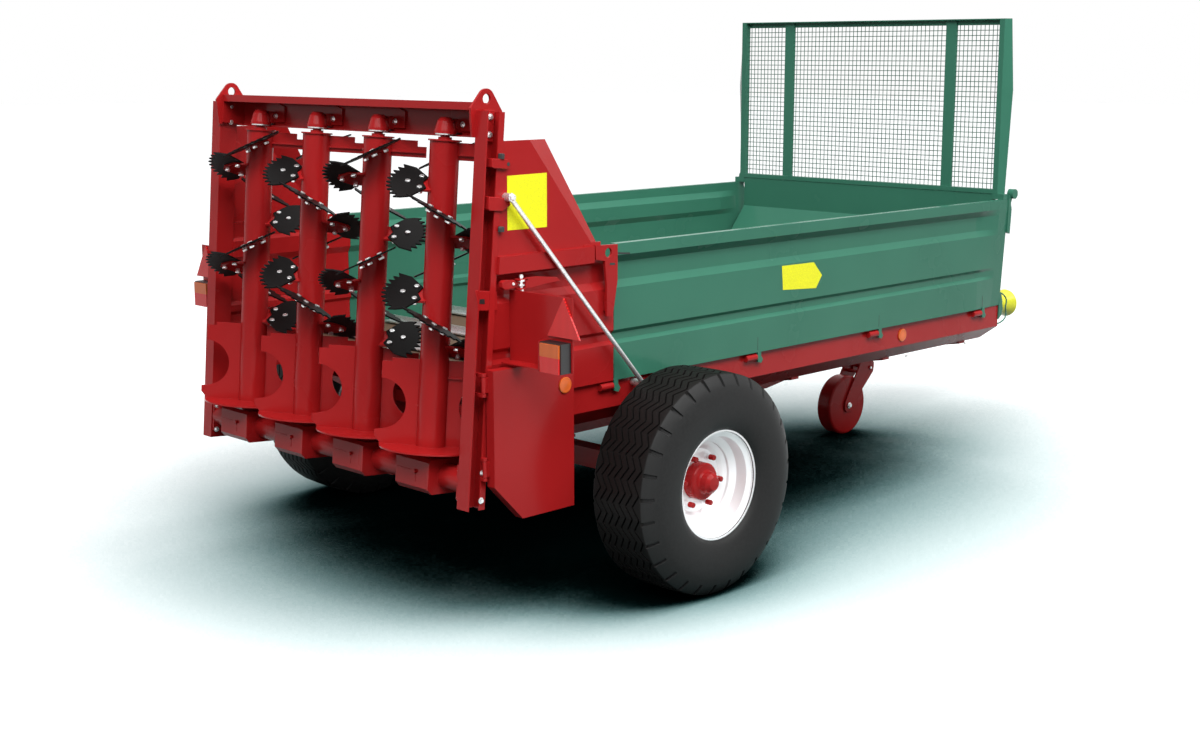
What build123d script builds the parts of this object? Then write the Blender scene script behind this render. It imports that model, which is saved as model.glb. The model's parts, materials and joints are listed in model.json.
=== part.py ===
"""Two-wheeled farm manure spreader with four upright beaters.

Millimetres.  X forward, Y left, Z up, ground at Z = 0.  While it is modelled the wheel axle
is at X = 0; on export everything moves so that X = 0 is the middle of the machine's length.
"""
from build123d import *
from math import acos, atan2, cos, hypot, radians, sin, tan
import os

# ---------------------------------------------------------------- driving dimensions
TYRE_R = 435.0                    # 400/60-15.5 flotation tyre
TYRE_WIDTH = 326.0
TYRE_OUT = 1239.0                 # |y| of the outer tyre wall
RIM_R = 215.0                     # rim flange
RIM_OUT = 1206.0                  # |y| of the outer rim flange
DISH_OUT = 1088.0                 # |y| of the wheel disc's outer face
STUD_RING_R = 102.5
HUB_R = 73.5                      # hole of the wheel disc
STUD_COUNT = 6

BED_REAR = -216.0                 # rear end of the green side boards
BED_FRONT = 2541.0
BOARD_TOP = 1351.0
BOARD_FOOT = 824.0
BOARD_OUT = 863.0                 # |y| of the boards' rim
BOARD_THICK = 32.0
RAIL_OUT = 833.0
RAIL_FOOT = 717.0
RAIL_LIP_FOOT = 657.0
RAIL_LIP_Y = 766.0
RAIL_REAR = -500.0
RAIL_WALL = 6.0
FLOOR_REAR, FLOOR_FRONT = -455.0, 2385.0
FLOOR_THICK = 18.0

MAIN_BEAM_Y = 300.0               # centre lines of the two longitudinal beams
MAIN_BEAM_W = 80.0
MAIN_BEAM_TOP = 678.0
MAIN_BEAM_FOOT = 612.0
AXLE_SIZE = 80.0
STUB_R = 25.0

LEAN = 4.83                       # the beater frame leans forward at the top, degrees
LEAN_X0 = -1010.0                 # where the frame's rear plane would meet the ground
POST_BOTTOM, POST_TOP = 455.0, 1868.0
POST_OUT, POST_IN = 866.0, 806.0
POST_DEPTH = 80.0
POST_WALL = 6.0
EYE_U, EYE_W = 45.0, 1910.0           # lifting eyes in the heads of the gussets
EYE_R = 18.0
GUSSET_THICK = 10.0
BEAM_BOTTOM, BEAM_TOP = 1775.0, 1896.0

BEATER_SPACING = 390.0
BEATER_COUNT = 4
BEATER_U = 50.0                   # axes in front of the frame's rear plane
TUBE_R = 54.0
DISC_R = 190.0
DISC_AT = 645.0                   # height of the disc along the leaning frame
TUBE_TOP = 1762.0
HELIX_PITCH = 400.0
KNIFE_FIRST = 1701.0              # height of the uppermost knife
KNIFE_COUNT = 8                   # one each quarter turn
KNIFE_TIP_R = 205.0
KNIFE_SLOPE = 27.5
KNIFE_THICK = 6.0
KNIFE_TEETH = 10
HEAD_R, FOOT_R = 17.0, 25.0       # the beater's shaft in the top bearing and in the gearbox
BOX_BOTTOM, BOX_TOP = 486.0, 614.0    # bevel gearboxes under the beaters
PAD_REACH = 91.0                  # the drive beam's pads for the main beams, from the beaters' axes

JACK_X, JACK_Y = 2604.0, 163.5     # support wheel
JACK_WHEEL_R = 161.0
JACK_WHEEL_W = 87.0
EYE_X, EYE_Z = 3825.0, 735.0
SHAFT_Z = 597.0                   # the drive shaft's height at the hitch
SHAFT_END = 4000.0
SPLINE_R = 17.5                       # 1 3/8 inch spline
RUNNING = 0.06                    # radial clearance of turning fits

COS, SIN, TAN = cos(radians(LEAN)), sin(radians(LEAN)), tan(radians(LEAN))
DISC_THICK = 6.0
REAR_END = LEAN_X0 + (BEATER_U - DISC_R) * COS + (DISC_AT - DISC_THICK) * SIN    # rim of the discs
X_MIDDLE = (REAR_END + SHAFT_END) / 2
REAR = Pos(LEAN_X0, 0, 0) * Rot(0, LEAN, 0)    # leaning frame: u forward, v left, w up


# ---------------------------------------------------------------- shape helpers
def block(x0, x1, y0, y1, z0, z1):
    """Box between two corners."""
    return Pos((x0 + x1) / 2, (y0 + y1) / 2, (z0 + z1) / 2) * Box(abs(x1 - x0), abs(y1 - y0), abs(z1 - z0))


def rod(radius, start, end):
    """Round bar between two points."""
    run = Vector(*end) - Vector(*start)
    return extrude(Plane(origin=start, z_dir=run) * Circle(radius), run.length)


def side_plate(points, y0, y1):
    """Outline of (x, z) points, from y0 to y1."""
    face = make_face(Polyline(*[(x, y0, z) for x, z in points], close=True))
    return extrude(face, y1 - y0, dir=(0, 1, 0))


def section(points, x0, x1):
    """Outline of (y, z) points, from x0 to x1."""
    face = make_face(Polyline(*[(x0, y, z) for y, z in points], close=True))
    return extrude(face, x1 - x0, dir=(1, 0, 0))


def plan(points, z0, z1):
    """Outline of (x, y) points, from z0 to z1."""
    face = make_face(Polyline(*[(x, y, z0) for x, y in points], close=True))
    return extrude(face, z1 - z0, dir=(0, 0, 1))


def turned_y(points):
    """Outline of (radius, y) points turned about the Y axis."""
    face = make_face(Polyline(*[(r, y, 0) for r, y in points], close=True))
    return revolve(face, Axis.Y)


def turned_z(points):
    """Outline of (radius, z) points turned about the Z axis."""
    face = make_face(Polyline(*[(r, 0, z) for r, z in points], close=True))
    return revolve(face, Axis.Z)


def left_of(part):
    """The same piece on the left side."""
    return mirror(part, about=Plane.XZ)


def group(*pieces):
    """Separate solids kept together as one piece."""
    return Compound([solid for piece in pieces for solid in piece.solids()])


def lean_x(u, z):
    """X of the leaning plane, u in front of the frame's rear plane, at height z."""
    return LEAN_X0 + u / COS + z * TAN


# ---------------------------------------------------------------- running gear
def tyre():
    """Left-hand tyre: hollow carcass with rounded shoulders, its beads on the rim's seats."""
    crown, mid = TYRE_R, TYRE_OUT - TYRE_WIDTH / 2
    half = TYRE_WIDTH / 2
    flange = half - (TYRE_OUT - RIM_OUT)
    outer = [  # (radius, distance from the middle), bead to crown
        (RIM_R - 26, flange - 70), (RIM_R - 22, flange - 22), (RIM_R - 2, flange - 14), (RIM_R, flange),
        (RIM_R + 22, half - 12), (RIM_R + 70, half), (RIM_R + 125, half - 4), (crown - 60, half - 12),
        (crown - 28, half - 26), (crown - 9, half - 46), (crown, half - 74)]
    inner = [(RIM_R - 12, flange - 62), (RIM_R + 30, half - 40), (RIM_R + 110, half - 22), (crown - 70, half - 34),
             (crown - 38, half - 80)]
    section_line = outer + [(r, -y) for r, y in reversed(outer)] + [(r, -y) for r, y in inner]
    section_line += [(r, y) for r, y in reversed(inner)]
    return Pos(0, mid, TYRE_R) * turned_y(section_line)


def rim():
    """Left-hand wheel: rolled barrel with a dished disc, a valve hole and the stud holes."""
    out = RIM_OUT
    back = TYRE_OUT - TYRE_WIDTH + (TYRE_OUT - RIM_OUT)
    wall = 7.0
    bed = [(RIM_R, out), (RIM_R - 2, out - 14), (RIM_R - 22, out - 22), (RIM_R - 26, out - 70),
           (RIM_R - 52, out - 86), (RIM_R - 54, back + 86), (RIM_R - 26, back + 70),
           (RIM_R - 22, back + 22), (RIM_R - 2, back + 14), (RIM_R, back)]
    barrel = turned_y(bed + [(r - wall, y) for r, y in reversed(bed)])
    seat = RIM_R - 58
    dish = turned_y([(HUB_R, DISH_OUT), (125, DISH_OUT), (140, DISH_OUT + 12), (seat, DISH_OUT + 22),
                     (seat, DISH_OUT + 10), (143, DISH_OUT), (128, DISH_OUT - 12), (HUB_R, DISH_OUT - 12)])
    valve = Pos(0, DISH_OUT, 145) * Rot(90, 0, 0) * Cylinder(9, 90)
    holes = [Rot(0, 360 * k / STUD_COUNT + 5, 0) * Pos(STUD_RING_R, DISH_OUT, 0) * Rot(90, 0, 0) * Cylinder(9.5, 60)
             for k in range(STUD_COUNT)]
    return Pos(0, 0, TYRE_R) * (barrel + dish - valve - holes)


def hub():
    """Left-hand hub behind and through the disc, with its cap and studs."""
    r = HUB_R - 0.5
    body = turned_y([(0, DISH_OUT - 12 - 70), (74, DISH_OUT - 12 - 70), (74, DISH_OUT - 28), (118, DISH_OUT - 24),
                     (118, DISH_OUT - 12.5), (r, DISH_OUT - 12.5), (r, DISH_OUT + 40), (r - 5, DISH_OUT + 46),
                     (48, DISH_OUT + 50), (42, DISH_OUT + 58), (40, DISH_OUT + 80), (26, DISH_OUT + 94),
                     (0, DISH_OUT + 96)])
    studs = [Rot(0, 360 * k / STUD_COUNT + 5, 0) * Pos(STUD_RING_R, DISH_OUT + 7, 0) * Rot(90, 0, 0) * Cylinder(9, 44)
             for k in range(STUD_COUNT)]
    bore = Pos(0, DISH_OUT - 60, 0) * Rot(90, 0, 0) * Cylinder(STUB_R + RUNNING, 60)
    return Pos(0, 0, TYRE_R) * (body + studs - bore)


def axle_beam():
    """Square axle under the main beams, stepped down to the stub axles."""
    half = AXLE_SIZE / 2
    beam = block(-half, half, -980, 980, TYRE_R - half, TYRE_R + half)
    stubs = [rod(STUB_R, (0, s * 970, TYRE_R), (0, s * (DISH_OUT - 32), TYRE_R)) for s in (-1, 1)]
    plates = [block(-half - 25, half + 25, s * MAIN_BEAM_Y - 50, s * MAIN_BEAM_Y + 50,
                    TYRE_R + half, TYRE_R + half + 12) for s in (-1, 1)]
    return beam + stubs + plates


# ---------------------------------------------------------------- chassis and load bed
def rail():
    """Right rail: folded channel with a slanted lower lip, its nose cut back, and the board hinge pins."""
    w = RAIL_WALL
    outline = [(-RAIL_OUT, BOARD_FOOT), (-RAIL_OUT, RAIL_FOOT), (-RAIL_LIP_Y, RAIL_LIP_FOOT), (-715, RAIL_LIP_FOOT),
               (-715, RAIL_LIP_FOOT + w), (-RAIL_LIP_Y + 2, RAIL_LIP_FOOT + w), (-RAIL_OUT + w, RAIL_FOOT + 3),
               (-RAIL_OUT + w, BOARD_FOOT - w), (-760, BOARD_FOOT - w), (-760, BOARD_FOOT)]
    channel = section(outline, RAIL_REAR, BED_FRONT)
    nose = side_plate([(BED_FRONT - 100, 600), (BED_FRONT + 40, 600), (BED_FRONT + 40, RAIL_FOOT + 24),
                       (BED_FRONT, RAIL_FOOT)], -RAIL_OUT + w + 1, -700)
    end = block(BED_FRONT - 4, BED_FRONT, -RAIL_OUT + 1, -762, RAIL_FOOT + 4, BOARD_FOOT - 3)
    pins = [rod(14, (x - 82, -RAIL_OUT - 10, 803), (x - 16, -RAIL_OUT - 10, 803)) for x in hook_places()]
    return channel - nose + end + pins


def hook_places():
    """X of the four hinge hooks along each side board."""
    first, last = BED_REAR + 14, BED_FRONT - 162
    return [first + (last - first) * k / 3 for k in range(4)]


MEMBERS = [-380, 330, 1010, 1690, 2330]       # x of the members across the bed


def cross_members():
    """Members between the rails, under the floor and over the lower run of the scraper chain."""
    top, foot = BOARD_FOOT, 745
    inner = RAIL_OUT - RAIL_WALL
    members = []
    for x in MEMBERS:
        members.append(block(x - 30, x + 30, -757, 757, foot, top) +
                       block(x - 30, x + 30, -inner, inner, foot, top - RAIL_WALL))
    return group(*members)


def main_beams():
    """Two longitudinal beams: deep over the axle, tapering forward, meeting the drive beam behind."""
    top, seat, foot = MAIN_BEAM_TOP, TYRE_R + AXLE_SIZE / 2 + 12, MAIN_BEAM_FOOT
    rear = BEATER_U + PAD_REACH
    outline = [(lean_x(rear, 594), 594), (lean_x(rear, 500), 500), (-600, 480), (-260, seat), (170, seat),
               (1340, 500), (1760, 560), (2000, foot), (BED_FRONT, foot), (BED_FRONT, top), (-480, top)]
    y0, y1 = -MAIN_BEAM_Y - MAIN_BEAM_W / 2, -MAIN_BEAM_Y + MAIN_BEAM_W / 2
    beam = side_plate(outline, y0, y1)
    return group(beam, left_of(beam))


def outriggers():
    """Tapered members from beam to beam and out to the rails' lower lips."""
    lip, foot = RAIL_LIP_FOOT, MAIN_BEAM_FOOT
    near, far = MAIN_BEAM_Y + MAIN_BEAM_W / 2, RAIL_LIP_Y
    pieces = []
    for x in MEMBERS:
        arm = section([(-far, lip), (-far, lip - 10), (-near, foot - 42), (-near, lip)], x - 25, x + 25)
        between = block(x - 25, x + 25, -MAIN_BEAM_Y + MAIN_BEAM_W / 2, MAIN_BEAM_Y - MAIN_BEAM_W / 2, foot, lip)
        pieces += [arm, left_of(arm), between]
    return group(*pieces)


def floor_panel():
    return block(FLOOR_REAR, FLOOR_FRONT, -812, 812, BOARD_FOOT, BOARD_FOOT + FLOOR_THICK)


def board_outline(foot, out, faded=0.0):
    """Ribbed cross-section of a right side wall, (y, z), outer face first; out is |y| of its rim.

    Faded runs from 0 for the full ribs to 1 for the flat strip at the wall's front end.
    """
    ribs = [  # (inset from the rim, height)
        (0, BOARD_TOP), (0, BOARD_TOP - 45), (30, BOARD_TOP - 75), (30, BOARD_TOP - 142), (12, BOARD_TOP - 170),
        (12, BOARD_TOP - 332), (26, BOARD_TOP - 346), (26, BOARD_TOP - 372), (12, BOARD_TOP - 386), (12, foot)]
    face = []
    for inset, z in ribs:
        flat = 25 * max(0.0, (BOARD_TOP - 45 - z) / (BOARD_TOP - 45 - BOARD_FOOT))
        face.append((-out + inset + (flat - inset) * faded, z))
    return face + [(y + BOARD_THICK, z) for y, z in reversed(face)]


def side_board():
    """Right side board: folded sheet whose ribs fade before the front end, and its four hinge hooks."""
    fade_from, fade_to = BED_FRONT - 230, BED_FRONT - 75
    ribbed, flat = board_outline(BOARD_FOOT, BOARD_OUT), board_outline(BOARD_FOOT, BOARD_OUT, 1.0)
    board = section(ribbed, BED_REAR, fade_from) + section(flat, fade_to, BED_FRONT)
    ends = [make_face(Polyline(*[(x, y, z) for y, z in outline], close=True))
            for x, outline in ((fade_from, ribbed), (fade_to, flat))]
    board += loft(ends, ruled=True)
    foot_y = -BOARD_OUT + 12
    for x in hook_places():
        hook = side_plate([(x - 11, BOARD_FOOT + 6), (x + 11, BOARD_FOOT + 6), (x + 11, 808), (x + 24, 790),
                           (x + 12, 776), (x - 8, 782), (x - 11, 796)], foot_y, foot_y + 8)
        board += hook
    return board


def front_board():
    """Front wall between the side boards, its inner sheet sloping back over the scraper's front shaft."""
    x1, x0 = BED_FRONT - 6, BED_FRONT - 38
    half = BOARD_OUT - BOARD_THICK - 35
    foot, top, knee = BOARD_FOOT + FLOOR_THICK + 8, BOARD_TOP + 25, 1221
    toe = (2222, 892)
    outline = [(x1, foot), (x1, top), (x0, top), (x0, knee), toe, (toe[0] + 2, toe[1] - 8), (x0 + 8, knee - 6),
               (x1 - 12, knee - 6), (x1 - 12, foot)]
    return side_plate(outline, -half, half)


MESH_FOOT, MESH_TOP = BOARD_TOP + 4, 2222.0
MESH_X0, MESH_X1 = BED_FRONT - 41, BED_FRONT - 6
PANE_EDGES = (-796, -540, -480, 480, 540, 796)      # |y| of the posts' and bars' inner edges


def mesh_frame():
    """Welded frame on the front wall: top and bottom angles, two bars, and posts that bulge at mid-height."""
    x0, x1 = MESH_X0, MESH_X1
    half, bulge, mid = 844, 22, 1882
    frame = block(x0, x1, -half + 20, half - 20, MESH_TOP - 5, MESH_TOP)
    frame += block(x1 - 6, x1, -half + 20, half - 20, MESH_TOP - 30, MESH_TOP)
    frame += block(x0, x1, -800, 800, MESH_FOOT + 22, MESH_FOOT + 44)
    for s in (-1, 1):
        back = [(x0, s * 797, MESH_FOOT), (x0, s * 825, MESH_FOOT), (x0, s * 825, mid), (x0, s * 825, MESH_TOP),
                (x0, s * 797, MESH_TOP)]
        front = [(x1, s * 797, MESH_FOOT), (x1, s * half, MESH_FOOT), (x1, s * (half + bulge), mid),
                 (x1, s * half, MESH_TOP), (x1, s * 797, MESH_TOP)]
        post = loft([make_face(Polyline(*ring, close=True)) for ring in (back, front)], ruled=True)
        frame += post + block(x1 - 14, x1, s * 540, s * 480, MESH_FOOT + 22, MESH_TOP)
        frame += block(x0, BED_FRONT - 2, s * 797, s * (BOARD_OUT - 2), MESH_FOOT - 3.9, MESH_FOOT + 22)
    return frame


def mesh_grid():
    """Three panes of mesh, drawn as plain grids of large openings."""
    x, bar = MESH_X1 - 12, 7.0
    low, high, rows = MESH_FOOT + 44, MESH_TOP - 30, 6
    panes = []
    for y0, y1, across in ((PANE_EDGES[0], PANE_EDGES[1], 2), (PANE_EDGES[2], PANE_EDGES[3], 7),
                           (PANE_EDGES[4], PANE_EDGES[5], 2)):
        pane = block(x - 3, x, y0, y1, low, high)
        wide, tall = (y1 - y0 - bar) / across, (high - low - bar) / rows
        holes = [block(x - 4, x + 1, y0 + bar + wide * i, y0 + wide * (i + 1), low + bar + tall * j,
                       low + tall * (j + 1)) for i in range(across) for j in range(rows)]
        panes.append(pane - holes)
    return group(*panes)


def board_latches():
    """Front latches: a lever with a round knob on the front corner of each side board."""
    x = BED_FRONT
    lever = side_plate([(x, 1190), (x + 22, 1180), (x + 30, 1300), (x + 20, 1330), (x + 34, 1366), (x, 1372)],
                       -BOARD_OUT - 4, -BOARD_OUT + 14)
    latch = lever + rod(24, (x + 36, -BOARD_OUT - 16, 1376), (x + 36, -BOARD_OUT + 16, 1376))
    return group(latch, left_of(latch))


# ---------------------------------------------------------------- scraper floor
SHAFT_REAR_X, SHAFT_FRONT_X = -520.0, 2450.0
CHAIN_Y = 390.0
CHAIN_THICK = 8.0
DRUM_R = 57.0
DRUM_Z = BOARD_FOOT + FLOOR_THICK - DRUM_R      # the upper run slides on the floor


def scraper_shafts():
    """Rear drive shaft and front idler shaft across the bed, each with two chain drums."""
    half = RAIL_OUT - RAIL_WALL
    shafts = []
    for x in (SHAFT_REAR_X, SHAFT_FRONT_X):
        shaft = rod(22, (x, -half, DRUM_Z), (x, half, DRUM_Z))
        for s in (-1, 1):
            shaft += rod(DRUM_R, (x, s * CHAIN_Y - 28, DRUM_Z), (x, s * CHAIN_Y + 28, DRUM_Z))
        shafts.append(shaft)
    return group(*shafts)


def chain_loop(y, radius):
    """Face enclosed by the chain at this radius round both drums."""
    rear, front, z = SHAFT_REAR_X, SHAFT_FRONT_X, DRUM_Z
    upper = Line((rear, y, z + radius), (front, y, z + radius))
    nose = ThreePointArc((front, y, z + radius), (front + radius, y, z), (front, y, z - radius))
    lower = Line((front, y, z - radius), (rear, y, z - radius))
    tail = ThreePointArc((rear, y, z - radius), (rear - radius, y, z), (rear, y, z + radius))
    return make_face(Wire([upper, nose, lower, tail]))


def scraper_chains():
    """Two endless chains round the drums, with the floor between their runs."""
    loops = []
    for y in (-CHAIN_Y, CHAIN_Y):
        outer = extrude(chain_loop(y, DRUM_R + CHAIN_THICK), 12, dir=(0, 1, 0), both=True)
        inner = extrude(chain_loop(y, DRUM_R), 12, dir=(0, 1, 0), both=True)
        loops.append(outer - inner)
    return group(*loops)


def scraper_slats():
    """Angle-section slats across both chains, on the upper run and hanging from the lower one."""
    pitch, half, leg, wall = 370.0, 790, 30, 6
    reach = DRUM_R + CHAIN_THICK
    slats = []
    for k in range(8):
        for run in (1, -1):
            x, z = -400 + pitch * k, DRUM_Z + run * reach
            slats.append(block(x - 20, x + 20, -half, half, z, z + run * wall) +
                         block(x + run * 14, x + run * 20, -half, half, z, z + run * leg))
    return group(*slats)


# ---------------------------------------------------------------- beater frame
def tangent_point(point, centre, radius, side):
    """Where the tangent from a point touches a circle; side is 1 or -1."""
    du, dw = point[0] - centre[0], point[1] - centre[1]
    angle = atan2(dw, du) + side * acos(radius / hypot(du, dw))
    return centre[0] + radius * cos(angle), centre[1] + radius * sin(angle)


def rear_post():
    """Right post: folded channel open outwards with a return lip, and the gusset with its lifting eye."""
    w = POST_WALL
    post = block(0, POST_DEPTH, -POST_OUT, -POST_IN, POST_BOTTOM, POST_TOP)
    post -= block(w, POST_DEPTH - w, -POST_OUT - 1, -POST_IN - w, POST_BOTTOM - 1, POST_TOP + 1)
    post += block(54, POST_DEPTH, -POST_OUT, -POST_OUT + w, POST_BOTTOM, POST_TOP)
    centre, head_r = (EYE_U, EYE_W), 36.0
    rear_corner, front_corner = (-27, 1874), (120, 1873)
    gusset = [(-12, 1774), (110, 1774), front_corner, tangent_point(front_corner, centre, head_r, 1),
              tangent_point(rear_corner, centre, head_r, -1), rear_corner]
    y0, y1 = -POST_IN, -POST_IN + GUSSET_THICK
    head = side_plate(gusset, y0, y1) + rod(head_r, (EYE_U, y0, EYE_W), (EYE_U, y1, EYE_W))
    return REAR * (post + head - rod(EYE_R, (EYE_U, y0 - 9, EYE_W), (EYE_U, y1 + 9, EYE_W)))


def top_beam():
    """Channel between the post heads, open to the rear over the bearings."""
    half, w = POST_IN - GUSSET_THICK, 6
    outline = [(0, BEAM_TOP), (110, BEAM_TOP), (110, BEAM_BOTTOM), (78, BEAM_BOTTOM), (78, BEAM_BOTTOM + w),
               (110 - w, BEAM_BOTTOM + w), (110 - w, BEAM_TOP - w), (w, BEAM_TOP - w), (w, BEAM_TOP - 28),
               (0, BEAM_TOP - 28)]
    beam = side_plate(outline, -half, half)
    ends = [block(0, 104, s * half, s * (half - 8), BEAM_BOTTOM + w, BEAM_TOP - w) for s in (-1, 1)]
    return REAR * (beam + ends)


def beater_y(k):
    """Y of beater k, numbered from the left."""
    return BEATER_SPACING * ((BEATER_COUNT - 1) / 2 - k)


def bearing_housing(y):
    """One bell-shaped top bearing on an arm from the beam's web, with its bolted flange plate."""
    z0 = BEAM_BOTTOM + 8
    bore = HEAD_R + RUNNING
    bell = turned_z([(bore, z0), (41, z0), (40, z0 + 10), (31, z0 + 44), (20, z0 + 58), (0, z0 + 60), (0, z0 + 32),
                     (bore, z0 + 32)])
    housing = Pos(BEATER_U, y, 0) * bell
    housing += block(BEATER_U + 26, 104, y - 30, y + 30, z0 + 6, z0 + 54)
    plate = make_face(Polyline((96, y - 96, z0 + 12), (96, y - 96, z0 + 74), (96, y - 40, z0 + 92),
                               (96, y + 30, z0 + 92), (96, y + 30, z0 + 12), close=True))
    return REAR * (housing + extrude(plate, 8, dir=(1, 0, 0)))


def drive_beam():
    """Four bevel gearboxes in line under the beaters, joined by the shaft tubes and bolted to the posts."""
    mid = (BOX_BOTTOM + BOX_TOP) / 2
    u = BEATER_U
    end = POST_IN - 2
    beam = rod(48, (u, -end, mid), (u, end, mid))
    for s in (-1, 1):
        beam += block(u - 46, u + 46, s * (end - 10), s * end, BOX_BOTTOM, BOX_TOP)
    for k in range(BEATER_COUNT):
        y = beater_y(k)
        box = [(u - 84, BOX_BOTTOM + 18), (u - 66, BOX_BOTTOM), (u + 66, BOX_BOTTOM), (u + 84, BOX_BOTTOM + 18),
               (u + 84, BOX_TOP - 12), (u + 72, BOX_TOP), (u - 72, BOX_TOP), (u - 84, BOX_TOP - 12)]
        beam += side_plate(box, y - 92, y + 92)
        beam += side_plate([(a + (6 if a > u else -6), z) for a, z in box], y - 104, y - 92)
        beam += rod(38, (u, y, BOX_TOP), (u, y, BOX_TOP + 12))
        beam -= rod(FOOT_R + RUNNING, (u, y, BOX_TOP - 26), (u, y, BOX_TOP + 12))
    pads = [block(u + 20, u + PAD_REACH, s * (MAIN_BEAM_Y - 14), s * (MAIN_BEAM_Y + 44), mid - 60, mid + 60)
            for s in (-1, 1)]
    return REAR * (beam + pads)


# ---------------------------------------------------------------- beaters
def knife_outline():
    """Serrated sector in its own plane, (outwards, sideways)."""
    tip, root = KNIFE_TIP_R, KNIFE_TIP_R - 21
    reach = 42.0
    step = 2 * reach / KNIFE_TEETH
    points = [(72, 0), (57, -39), (106, -106)]
    for k in range(KNIFE_TEETH):
        start = -reach + k * step
        for r, angle in ((root, start), (tip, start + step * 0.25), (root, start + step * 0.8)):
            points.append((r * cos(radians(angle)), r * sin(radians(angle)) * 0.97))
    return points + [(106, 106), (57, 39)]


def spiral(hand, first):
    """Heading and height of each knife: a quarter turn and a quarter pitch apart, downwards."""
    places = []
    for k in range(KNIFE_COUNT):
        places.append((first - hand * 90 * k, KNIFE_FIRST - HELIX_PITCH / 4 * k))
    return places


def knife_seat(hand, heading, height):
    """Location whose x axis points outwards and whose plane lies in the helix."""
    return Pos(0, 0, height) * Rot(0, 0, heading) * Rot(hand * KNIFE_SLOPE, 0, 0)


def knives(hand, first):
    """The bolted knives of one beater."""
    blade = plan(knife_outline(), 0, KNIFE_THICK)
    holes = [Pos(r, t, 0) * Cylinder(6, 40) for r, t in ((127, 0), (80, 41), (80, -41))]
    blade -= holes
    return [knife_seat(hand, heading, height) * blade for heading, height in spiral(hand, first)]


def paddle(low, high, reach, step_out, step_down):
    """Flat radial plate with its outer top corner stepped down."""
    outline = [(TUBE_R - 6, low), (reach, low), (reach, high - step_down), (reach - step_out, high - step_down),
               (reach - step_out, high), (TUBE_R - 6, high)]
    return side_plate(outline, -4, 4)


def throwing_paddle():
    """Tall radial plate over the disc: a round bite from the outer edge, a lip below, a band on top."""
    low, high = DISC_AT, DISC_AT + 318
    plate = paddle(low, high, DISC_R, 36, 13)
    lip = side_plate([(DISC_R - 12, low), (DISC_R, low + 4), (DISC_R + 20, low + 26), (DISC_R + 20, low + 50),
                      (DISC_R - 40, low + 60), (DISC_R - 60, low)], -4, 4)
    bite = Pos(DISC_R + 2, 0, low + 148) * Rot(90, 0, 0) * Cylinder(94, 20)
    fold = block(TUBE_R - 6, DISC_R, -14, 4, high - 66, high - 60)
    return plate + lip - bite + fold


def beater(hand, first):
    """Tube, disc, knife brackets, throwing paddles, top paddle and the two shaft ends."""
    body = Pos(0, 0, (DISC_AT + TUBE_TOP) / 2) * Cylinder(TUBE_R, TUBE_TOP - DISC_AT)
    body += Pos(0, 0, TUBE_TOP - 3) * Cylinder(TUBE_R + 7, 6)
    body += Pos(0, 0, DISC_AT - DISC_THICK / 2) * Cylinder(DISC_R, DISC_THICK)
    body += turned_z([(0, TUBE_TOP), (25, TUBE_TOP), (25, TUBE_TOP + 9), (HEAD_R, TUBE_TOP + 9),
                      (HEAD_R, BEAM_BOTTOM + 34), (0, BEAM_BOTTOM + 34)])
    body += turned_z([(0, BOX_TOP - 20), (FOOT_R, BOX_TOP - 20), (FOOT_R, BOX_TOP + 18), (34, BOX_TOP + 18),
                      (34, DISC_AT - DISC_THICK), (0, DISC_AT - DISC_THICK)])
    bracket = plan([(TUBE_R - 14, -47), (96, -46), (140, -17), (146, 0), (140, 17), (96, 46), (TUBE_R - 14, 47)],
                   -9, 0)
    for heading, height in spiral(hand, first):
        body += knife_seat(hand, heading, height) * bracket
    for heading in (135, 315):
        body += Rot(0, 0, heading) * throwing_paddle()
    top = paddle(TUBE_TOP - 72, TUBE_TOP - 9, 184, 34, 22)
    top += block(TUBE_R - 6, 184, -14, 4, TUBE_TOP - 56, TUBE_TOP - 51)
    body += Rot(0, 0, 315) * top
    return body


# ---------------------------------------------------------------- rear side panels, lights, guards
WING_OUT = 864.0
WING_FOOT = 1290.0


def wing_panel():
    """Right upper panel between post and board, its sloping front edge folded inwards."""
    top, y = 1755, -WING_OUT
    rear = POST_DEPTH
    fold_top, fold_low = (-656, top), (-350, 1366)
    outline = [(lean_x(rear, WING_FOOT), WING_FOOT), (lean_x(rear, top), top), fold_top, fold_low,
               (-300, 1366), (-300, WING_FOOT)]
    panel = side_plate(outline, y, y + 6)
    slope = Vector(fold_low[0] - fold_top[0], 0, fold_low[1] - fold_top[1]).normalized()
    outward = Vector(-slope.Z, 0, slope.X)
    lean_in = radians(30)
    corners = []
    for (x, z), wide, along in ((fold_top, 112, 81), (fold_low, 38, 30)):
        base = Vector(x, y + 0.5, z)
        tip = base + outward * (wide * cos(lean_in)) + Vector(0, wide * sin(lean_in), 0) + slope * along
        corners.append((base, tip))
    (a, a_tip), (b, b_tip) = corners
    flange = make_face(Polyline(a, a_tip, b_tip, b, close=True))
    side = flange.faces()[0].normal_at()
    panel += extrude(flange, 6, dir=side if side.Y > 0 else side * -1)
    rib_top = WING_FOOT + 62
    rib = [(lean_x(rear, WING_FOOT), WING_FOOT), (lean_x(rear, rib_top), rib_top), (-345, rib_top), (-345, WING_FOOT)]
    return panel + side_plate(rib, y - 14, -BOARD_OUT + 48)


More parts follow.
